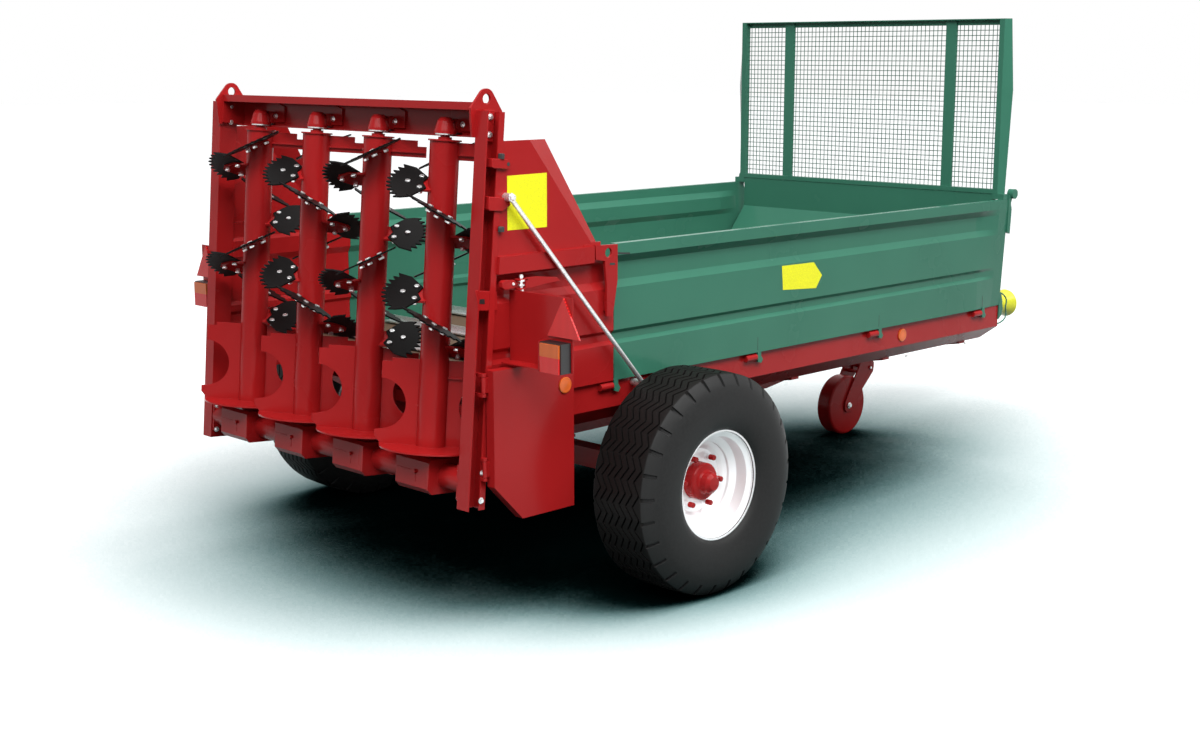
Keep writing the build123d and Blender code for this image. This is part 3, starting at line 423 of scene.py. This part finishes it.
def tyre(side):
    """Flotation tyre with zigzag grooves, notched shoulders and plain side walls."""
    name = f"tyre_{side}"
    low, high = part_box(name)
    centre = (low + high) / 2
    radius, half = (high.z - low.z) / 2, (high.y - low.y) / 2
    out = 1 if side == "left" else -1
    wall = [(w * half, radius - (BEAD_R + r), 0.0, 0.0) for r, w in WALL]
    rows = [(-across, *rest) for across, *rest in wall] + tread_rows() + wall[::-1]
    columns = [(wave + step, step) for wave in range(WAVES) for step in wave_steps()]
    rings = []
    for across, drop, swing, notched in rows:
        ring = []
        notch = NOTCH_AT + (0.5 if across < 0 else 0.0)
        for turn, step in columns:
            a = 2 * pi * (turn + FIRST_WAVE) / WAVES
            depth = drop
            if abs(step - notch) < (NOTCH_TOP + NOTCH_FLOOR) / 2:
                depth += notched * NOTCH_DEPTH
            y = out * (across + swing * ZIGZAG * zigzag(step))
            ring.append(centre + Vector(((radius - depth) * cos(a), y, (radius - depth) * sin(a))))
        rings.append(ring)
    bm = bmesh.new()
    add_ring_stack(bm, rings, joined=True)
    finish_piece(f"tread_{side}", bm, f"wheel_{side}", "tyre_rubber", smooth=28, replaced=(name,))


def wheel_fittings(side):
    """Long nuts on the wheel's studs, and their washers."""
    out = 1 if side == "left" else -1
    z = middle(f"tyre_{side}").z
    washer = [(0.015, 0), (0.015, 0.002), (0.0096, 0.003), (0.0096, 0.017)]
    nut = [(0.0098, 0.017), (0.0108, 0.018), (0.0108, 0.039), (0.009, 0.0415)]
    nuts, washers = bmesh.new(), bmesh.new()
    for k in range(STUDS):
        a = radians(360 / STUDS * k + FIRST_STUD)
        seat = at(STUD_CIRCLE * cos(a), out * STUD_Y, z - STUD_CIRCLE * sin(a))
        add_turned(washers, axes(seat, (0, out, 0)), washer, 20)
        add_turned(nuts, axes(seat, (0, out, 0)), nut, 20)
    finish_piece(f"wheel_nuts_{side}", nuts, f"wheel_{side}", "red_paint")
    finish_piece(f"wheel_washers_{side}", washers, f"wheel_{side}", "rim_paint")


# ---------------------------------------------------------------- mesh of the headboard
MESH_PITCH = 0.0244
WIRE_R = 0.0019
WIRE_LAP = 0.004                        # how far the upright wires run into the frame
PANES = ((-0.797, -0.539), (-0.481, 0.481), (0.539, 0.797))             # y of each one's ends


def between(start, end):
    """Places of the wires that divide start..end at about the mesh's pitch."""
    count = round((end - start) / MESH_PITCH)
    return [start + (end - start) * k / count for k in range(1, count)]


def mesh_wires():
    """Welded wires across the three panes, in place of the thin sheets."""
    bm = bmesh.new()
    low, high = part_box("mesh_grid")
    x = high.x - 0.002
    for y0, y1 in PANES:
        for y in between(y0, y1):
            add_rod(bm, (x, y, low.z - WIRE_LAP), (x, y, high.z + WIRE_LAP), WIRE_R, 5)
        for z in between(low.z, high.z):
            add_rod(bm, (x + 2 * WIRE_R, y0, z), (x + 2 * WIRE_R, y1, z), WIRE_R, 5)
    finish_piece("mesh_wires", bm, "chassis", "green_paint", WIRE, smooth=60,
                 replaced=("mesh_grid",))


# ---------------------------------------------------------------- beaters
KNIVES = 8                              # on each beater
TOP_KNIFE, KNIFE_STEP = 1.701, 0.1      # height of the first, and drop to each next one
KNIFE_SLOPE = radians(27.5)
KNIFE_HOLES = ((0.127, 0), (0.080, 0.0405), (0.080, -0.0405))           # outwards, sideways
KNIFE_BOLT = 0.0105                     # half width of its head and nut


def knife_bolts():
    """Three bolts through every knife, heads above and nuts below."""
    for k, y in enumerate(BEATER_Y):
        hand, first = (1, 225) if k % 2 == 0 else (-1, 45)      # neighbours mirror each other
        bm = bmesh.new()
        place = REAR @ Matrix.Translation((BEATER_U, y, 0))
        for step in range(KNIVES):
            heading = radians(first - hand * 90 * step)
            seat = (place @ Matrix.Translation((0, 0, TOP_KNIFE - KNIFE_STEP * step))
                    @ Matrix.Rotation(heading, 4, "Z")
                    @ Matrix.Rotation(hand * KNIFE_SLOPE, 4, "X"))
            up = seat.to_3x3() @ Vector((0, 0, 1))
            for r, t in KNIFE_HOLES:
                add_bolt(bm, seat @ Vector((r, t, 0.006)), up, KNIFE_BOLT, 0.005, washer=False)
                add_bolt(bm, seat @ Vector((r, t, -0.009)), -up, KNIFE_BOLT, 0.008, washer=False)
        finish_piece(f"knife_bolts_{k + 1}", bm, f"rotor_{k + 1}", "zinc_steel", BOLT_STEEL)


# ---------------------------------------------------------------- beater frame
GEARBOX_U = BEATER_U - 0.084            # rear face of the gearboxes
PLATE_Y = WING_Y = 0.864                # outer face of the wing panels, and of the plates below
BOARD_Y = 0.851                         # face of the side boards between their ribs
FILM = 0.0006                           # thickness of the films, and of the dark spots of painted shade in holes and slots
HOOKS = [-0.202 + 0.86033 * k for k in range(4)]        # x of the side boards' hinge hooks


def frame_bolts():
    """Bolts through the post heads, the bearings' plates and the ends of the drive beam."""
    bm = bmesh.new()
    for s in SIDES:
        out = Vector((0, s, 0))
        for w in (1.848, 1.787):                        # post heads
            add_bolt(bm, on_frame(0.048, s * 0.826, w), out, 0.009, 0.007)
            add_bolt(bm, on_frame(0.043, s * 0.796, w), -out, 0.009, 0.007)
        for w in (0.591, 0.490):                        # ends of the drive beam
            add_bolt(bm, on_frame(0.060, s * 0.866, w), out, 0.0085, 0.007)
            add_bolt(bm, on_frame(0.018, s * 0.794, w), -out, 0.0085, 0.007)
    for y in BEATER_Y:                                  # bearings' plates
        add_bolt(bm, on_frame(0.096, y - 0.041, 1.819), REARWARDS, 0.0085, 0.007)
    finish_piece("frame_bolts", bm, "chassis", "zinc_steel", BOLT_STEEL)


def bearing_rings():
    """Bright seal ring under each top bearing."""
    bm = bmesh.new()
    for y in BEATER_Y:
        place = REAR @ Matrix.Translation((BEATER_U, y, 1.7785))
        section = [(0.037, 0), (0.037, 0.005), (0.023, 0.005), (0.023, 0)]
        add_turned(bm, place, section, 36, joined=True)
    finish_piece("bearing_rings", bm, "chassis", "zinc_steel", BOLT_STEEL)


def drive_beam_fittings():
    """Oil plug and joint lines of each gearbox."""
    bm = bmesh.new()
    line_u = GEARBOX_U - 0.0005
    for y in BEATER_Y:
        plug_y = y - 0.022
        add_bolt(bm, on_frame(GEARBOX_U, plug_y, 0.561), REARWARDS, 0.008, 0.009, washer=False)
        add_box(bm, REAR, (0.002, 0.080, 0.003), (line_u, y + 0.050, 0.563))
        add_box(bm, REAR, (0.002, 0.003, 0.035), (line_u, plug_y, 0.540))
    finish_piece("drive_beam_fittings", bm, "chassis", "red_paint", bevel=0.001)


def post_lugs():
    """Pads, lugs and nuts on the posts, the stays' nuts, and a plate under each wing panel; thin
    dark discs and films are painted shade in the lugs' holes and the plates' slots.
    """
    upper = [(0.022, 1.676), (0.030, 1.672), (0.092, 1.671), (0.104, 1.677), (0.108, 1.689),
             (0.104, 1.700), (0.092, 1.706), (0.022, 1.706)]
    lower = [(0.020, 1.530), (0.026, 1.524), (0.085, 1.524), (0.122, 1.546), (0.116, 1.570),
             (0.020, 1.574)]
    plate = [(-0.918, 1.243), (-0.818, 1.229), (-0.815, 1.161), (-0.908, 1.169)]
    plate_slot = [(-0.907, 1.211), (-0.877, 1.208), (-0.877, 1.190), (-0.907, 1.194)]
    stay_nut = [(0.017, 0), (0.017, 0.002), (0.0125, 0.002), (0.0125, 0.010), (0.010, 0.013)]
    post_nut = [(0.0125, 0), (0.0125, 0.016), (0.0105, 0.019)]
    red, dark, bright = bmesh.new(), bmesh.new(), bmesh.new()
    for s in SIDES:
        out = Vector((0, s, 0))
        add_side_plate(red, REAR, upper, s * 0.812, s * 0.878)
        add_box(red, REAR, (0.044, 0.016, 0.110), (0.046, s * 0.818, 1.8175))
        add_side_plate(red, REAR, lower, s * 0.812, s * 0.874)
        # painted shade: a thin dark disc on the lug stands for its hole
        hole = axes(on_frame(0.0975, s * 0.878, 1.689), out)
        add_turned(dark, hole, [(0.0068, 0), (0.0068, FILM)], 20)
        for u, w in ((0.067, 1.706), (0.084, 1.452)):
            add_turned(dark, axes(on_frame(u, s * 0.872, w), UPWARDS), post_nut, 6)
        add_turned(bright, axes(at(-0.775, s * 0.898, 1.560), out), stay_nut, 6)
        add_side_plate(red, UPRIGHT, plate, s * 0.860, s * PLATE_Y)
        # painted shade: a dark film stands for the plate's slot
        add_side_plate(dark, UPRIGHT, plate_slot, s * PLATE_Y, s * (PLATE_Y + FILM))
    finish_piece("post_lugs", red, "chassis", "red_paint", bevel=0.002)
    finish_piece("post_nuts_and_hole_shade", dark, "chassis", "black_plastic", DARK_STEEL_AND_HOLE_SHADE)
    finish_piece("stay_nuts", bright, "chassis", "zinc_steel", BOLT_STEEL)


def tensioners():
    """Screw tensioner between post and lower panel: an eye, an upright bolt and a tapering arm."""
    eye = [(-0.812, 1.262), (-0.800, 1.269), (-0.755, 1.266), (-0.742, 1.251), (-0.755, 1.237),
           (-0.800, 1.235), (-0.812, 1.244)]
    arm = [(-0.712, 1.271), (-0.666, 1.272), (-0.560, 1.259), (-0.543, 1.244), (-0.605, 1.241),
           (-0.679, 1.233), (-0.714, 1.232)]
    collars = ((0.005, 0.009, 0.006), (0.024, 0.0115, 0.005), (0.040, 0.0125, 0.006),
               (0.053, 0.008, 0.008))                   # (above the foot, radius, height)
    red, bright = bmesh.new(), bmesh.new()
    for s in SIDES:
        add_side_plate(red, UPRIGHT, eye, s * 0.866, s * 0.886)
        add_side_plate(red, UPRIGHT, arm, s * 0.893, s * 0.900)
        for z in (1.2325, 1.265):                       # the two straps that hold the bolt
            add_box(red, UPRIGHT, (0.040, 0.030, 0.007), (-0.722, s * 0.885, z))
        foot = at(-0.728, s * 0.892, 1.220)
        add_rod(bright, foot, foot + Vector((0, 0, 0.064)), 0.0055)
        for z, r, tall in collars:
            add_rod(bright, foot + Vector((0, 0, z)), foot + Vector((0, 0, z + tall)), r)
        out = Vector((0, s, 0))
        add_bolt(bright, at(-0.762, s * 0.886, 1.253), out, 0.006, 0.005, washer=False)
    finish_piece("tensioner_arms", red, "chassis", "red_paint", bevel=0.001)
    finish_piece("tensioner_bolts", bright, "chassis", "zinc_steel", BOLT_STEEL)


def panel_details():
    """Tabs of the wing panels, and thin dark films as painted shade in the slots of the catch
    plates and the slits of the boards' rims and feet.
    """
    tab = [(-0.390, 1.360), (-0.388, 1.326), (-0.378, 1.316), (-0.346, 1.313), (-0.335, 1.320),
           (-0.333, 1.360)]
    slot = [(-0.261, 1.283), (-0.234, 1.281), (-0.234, 1.273), (-0.261, 1.275)]
    slit = [(-0.214, 1.318), (-0.141, 1.312), (-0.141, 1.305), (-0.214, 1.311)]
    red, dark = bmesh.new(), bmesh.new()
    for s in SIDES:
        add_side_plate(red, UPRIGHT, tab, s * WING_Y, s * 0.8655)
        add_side_plate(dark, UPRIGHT, slot, s * 0.874, s * 0.8745)
        add_side_plate(dark, UPRIGHT, slit, s * 0.863, s * 0.8634)
        for x in HOOKS:
            x0, x1 = x - 0.0135, x - 0.0115
            gap = [(x0, 0.834), (x1, 0.834), (x1, 0.888), (x0, 0.888)]
            add_side_plate(dark, UPRIGHT, gap, s * BOARD_Y, s * 0.8514)
    finish_piece("wing_tabs", red, "chassis", "red_paint", bevel=0.0006)
    finish_piece("painted_panel_slits", dark, "chassis", "green_paint", PAINTED_SLIT_SHADE)


# ---------------------------------------------------------------- front end
def corner_handles():
    """Bent handle and its bracket ahead of the front wall's lower corners."""
    bracket = [(2.538, 0.894), (2.552, 0.886), (2.566, 0.848), (2.574, 0.805), (2.564, 0.770),
               (2.538, 0.752)]
    path = [(2.538, 0.884), (2.566, 0.880), (2.588, 0.868), (2.606, 0.855), (2.615, 0.841),
            (2.615, 0.826), (2.610, 0.812), (2.610, 0.798), (2.615, 0.783), (2.616, 0.766),
            (2.609, 0.751), (2.594, 0.741), (2.570, 0.733), (2.538, 0.728)]
    bm = bmesh.new()
    for s in SIDES:
        add_side_plate(bm, UPRIGHT, bracket, s * 0.834, s * 0.840)
        points = [at(x, s * 0.834, z) for x, z in path]
        for a, b in zip(points, points[1:]):
            add_rod(bm, a, b, 0.0036, 10)
    finish_piece("corner_handles", bm, "chassis", "green_paint", smooth=40)


def wheel_stand_bolts():
    """Bolts of the support wheel and of its leg, and the pins under the rails."""
    leg, frame_side = bmesh.new(), bmesh.new()
    leg_y = 0.1635
    for s in SIDES:
        out = Vector((0, s, 0))
        add_bolt(leg, at(2.604, leg_y + s * 0.058, 0.161), out, 0.012, 0.009)
        add_bolt(frame_side, at(2.787, leg_y + s * 0.0605, 0.348), out, 0.007, 0.005, washer=False)
        for x in (1.809, 2.307):
            add_rod(frame_side, at(x, s * 0.800, 0.648), at(x, s * 0.800, 0.657), 0.006)
    finish_piece("support_wheel_bolts", leg, "support_leg", "zinc_steel", BOLT_STEEL)
    finish_piece("stand_bolts", frame_side, "chassis", "zinc_steel", BOLT_STEEL)


# ---------------------------------------------------------------- plates and reflectors
def films():
    """The blank yellow films on the wing panels and the side boards."""
    wing = [(-0.766, 1.441), (-0.575, 1.440), (-0.574, 1.635), (-0.765, 1.633)]
    board = [(0.806, 1.072), (1.033, 1.058), (1.073, 1.111), (1.014, 1.172), (0.796, 1.175)]
    bm = bmesh.new()
    for s in SIDES:
        for outline, y in ((wing, WING_Y), (board, BOARD_Y)):
            add_side_plate(bm, UPRIGHT, outline, s * y, s * (y + FILM))
    finish_piece("yellow_films", bm, "chassis", "yellow_plastic", YELLOW_FILM, smooth=0)


def reflectors():
    """Round amber reflectors on the rails and the drive guard."""
    dome = [(0.030, 0), (0.030, 0.005), (0.026, 0.0065), (0.0255, 0.0055), (0.012, 0.0062),
            (0.001, 0.0066)]
    for name, body, spot in (("rail_right", "chassis", at(1.716, -0.833, 0.769)),
                             ("rail_left", "chassis", at(1.716, 0.833, 0.769)),
                             ("guard", "guard_door", at(-0.537, -0.914, 0.860))):
        bm = bmesh.new()
        add_turned(bm, axes(spot, (0, 1 if spot.y > 0 else -1, 0)), dome, 36)
        finish_piece(f"reflector_{name}", bm, body, "amber_lens")


# ---------------------------------------------------------------- light, floor and camera
AMBIENT = 0.42                          # strength of the light from all round
AMBIENT_LOW, AMBIENT_HIGH = 0.6, 1.4    # its share at the horizon and overhead
FLOOR_HALF = 60.0                       # half the floor's width
FLOOR_REACH = 3.0                       # how near a thing has to be to darken it in the painted shadow
FLOOR_SHADE = (0.40, 0.965)             # openness at which the painted shadow is darkest, and where the floor is fully pale
FLOOR_BOUNCE = (0.05, 0.075, 0.075, 1)  # the colour that it throws back at the machine
EYE = (-4.693, -5.246, 2.053)           # place of the camera, fitted to the photo
HEADING, DOWN = 44.95, 10.90            # degrees: from forward to the left, and below level


def seen_directly(nodes, links):
    """1 for the camera and in reflections or through glass, 0 where the object is being lit."""
    path = nodes.new("ShaderNodeLightPath")
    value = path.outputs["Is Camera Ray"]
    for other in ("Is Glossy Ray", "Is Transmission Ray"):
        node = nodes.new("ShaderNodeMath")
        node.operation = "MAXIMUM"
        links.new(value, node.inputs[0])
        links.new(path.outputs[other], node.inputs[1])
        value = node.outputs[0]
    return value


def world_light():
    """White background; the object gets a low light from all round, stronger from above."""
    world = bpy.data.worlds.new("studio")
    bpy.context.scene.world = world
    world.use_nodes = True
    nodes, links = world.node_tree.nodes, world.node_tree.links
    direction = nodes.new("ShaderNodeSeparateXYZ")
    links.new(nodes.new("ShaderNodeTexCoord").outputs["Generated"], direction.inputs[0])
    rise = nodes.new("ShaderNodeMapRange")
    set_range(rise, AMBIENT * AMBIENT_LOW, AMBIENT * AMBIENT_HIGH, 0.0, 1.0)
    links.new(direction.outputs["Z"], rise.inputs["Value"])
    ambient, white = nodes["Background"], nodes.new("ShaderNodeBackground")
    ambient.inputs[0].default_value = (0.95, 0.98, 1.0, 1)
    links.new(rise.outputs[0], ambient.inputs[1])
    white.inputs[0].default_value = (1, 1, 1, 1)
    white.inputs[1].default_value = 1.0
    mix = nodes.new("ShaderNodeMixShader")
    for k, value in enumerate((seen_directly(nodes, links), ambient.outputs[0], white.outputs[0])):
        links.new(value, mix.inputs[k])
    links.new(mix.outputs[0], nodes["World Output"].inputs[0])


def floor():
    """Pale floor with a painted shadow: darker where the machine stands close over it."""
    bm = bmesh.new()
    corners = ((-1, -1), (1, -1), (1, 1), (-1, 1))
    bm.faces.new([bm.verts.new((x * FLOOR_HALF, y * FLOOR_HALF, 0)) for x, y in corners])
    mesh = bpy.data.meshes.new("floor")
    bm.to_mesh(mesh)
    bm.free()
    ground = bpy.data.objects.new("floor", mesh)
    bpy.context.scene.collection.objects.link(ground)
    s = Shader("floor")
    # painted shadow: besides the lamps' own shadow, the floor's colour darkens where it is closed
    # in
    openness = s.add("ShaderNodeAmbientOcclusion", Distance=FLOOR_REACH)
    openness.samples = 16
    light = s.ramp(openness.outputs["AO"], 0.004, 1.0, *FLOOR_SHADE)
    red = s.math("POWER", light, 1.35)                  # the painted shadow is a little blue-green
    pale = s.add("ShaderNodeCombineColor", Red=red, Green=light, Blue=light).outputs[0]
    seen = seen_directly(s.nodes, s.links)
    # painted light: the open floor also glows white for the camera, and the glow fades out in the
    # painted shadow
    glow_outside_painted_shadow = s.math("MULTIPLY", seen, s.ramp(light, 0.0, 0.26, 0.85, 1.0))
    s.set(Base_Color=s.mix(seen, FLOOR_BOUNCE, pale), Roughness=0.9, Specular_IOR_Level=0.0,
          Emission_Color=(1, 1, 1, 1), Emission_Strength=glow_outside_painted_shadow)
    mesh.materials.append(s.material)


def lamp(name, kind, energy, place, target, **settings):
    """Light at a place, aimed at a target."""
    data = bpy.data.lights.new(name, kind)
    data.energy = energy
    for key, value in settings.items():
        setattr(data, key, value)
    holder = bpy.data.objects.new(name, data)
    holder.location = place
    holder.rotation_euler = (Vector(target) - Vector(place)).to_track_quat("-Z", "Y").to_euler()
    bpy.context.scene.collection.objects.link(holder)


def stage():
    """White studio: a broad soft light from above, and high fills on the right and at the rear."""
    world_light()
    floor()
    lamp("key", "SUN", 1.0, at(0, 0, 6), at(0, 0, 0), angle=radians(50))
    lamp("fill_right", "AREA", 700, at(1.0, -6.0, 7.2), at(0.8, 0, 1.0),
         shape="RECTANGLE", size=11.0, size_y=4.0)
    lamp("fill_rear", "AREA", 560, at(-6.0, -3.6, 7.6), at(-0.6, 0, 1.0),
         shape="RECTANGLE", size=8.0, size_y=4.0)


def camera():
    """The photo's view: 50 mm on a frame 36 mm wide."""
    data = bpy.data.cameras.new("camera")
    data.sensor_width = 36.0
    data.lens = 50.0
    eye = bpy.data.objects.new("camera", data)
    eye.location = at(*EYE)
    eye.rotation_euler = (radians(90 - DOWN), 0, radians(HEADING - 90))
    bpy.context.scene.collection.objects.link(eye)
    bpy.context.scene.camera = eye
    bpy.context.scene.view_settings.view_transform = "Standard"


# ---------------------------------------------------------------- build
dress_frame()
for wheel_side in ("left", "right"):
    tyre(wheel_side)
    wheel_fittings(wheel_side)
mesh_wires()
knife_bolts()
frame_bolts()
bearing_rings()
drive_beam_fittings()
post_lugs()
tensioners()
panel_details()
corner_handles()
wheel_stand_bolts()
films()
reflectors()
stage()
camera()
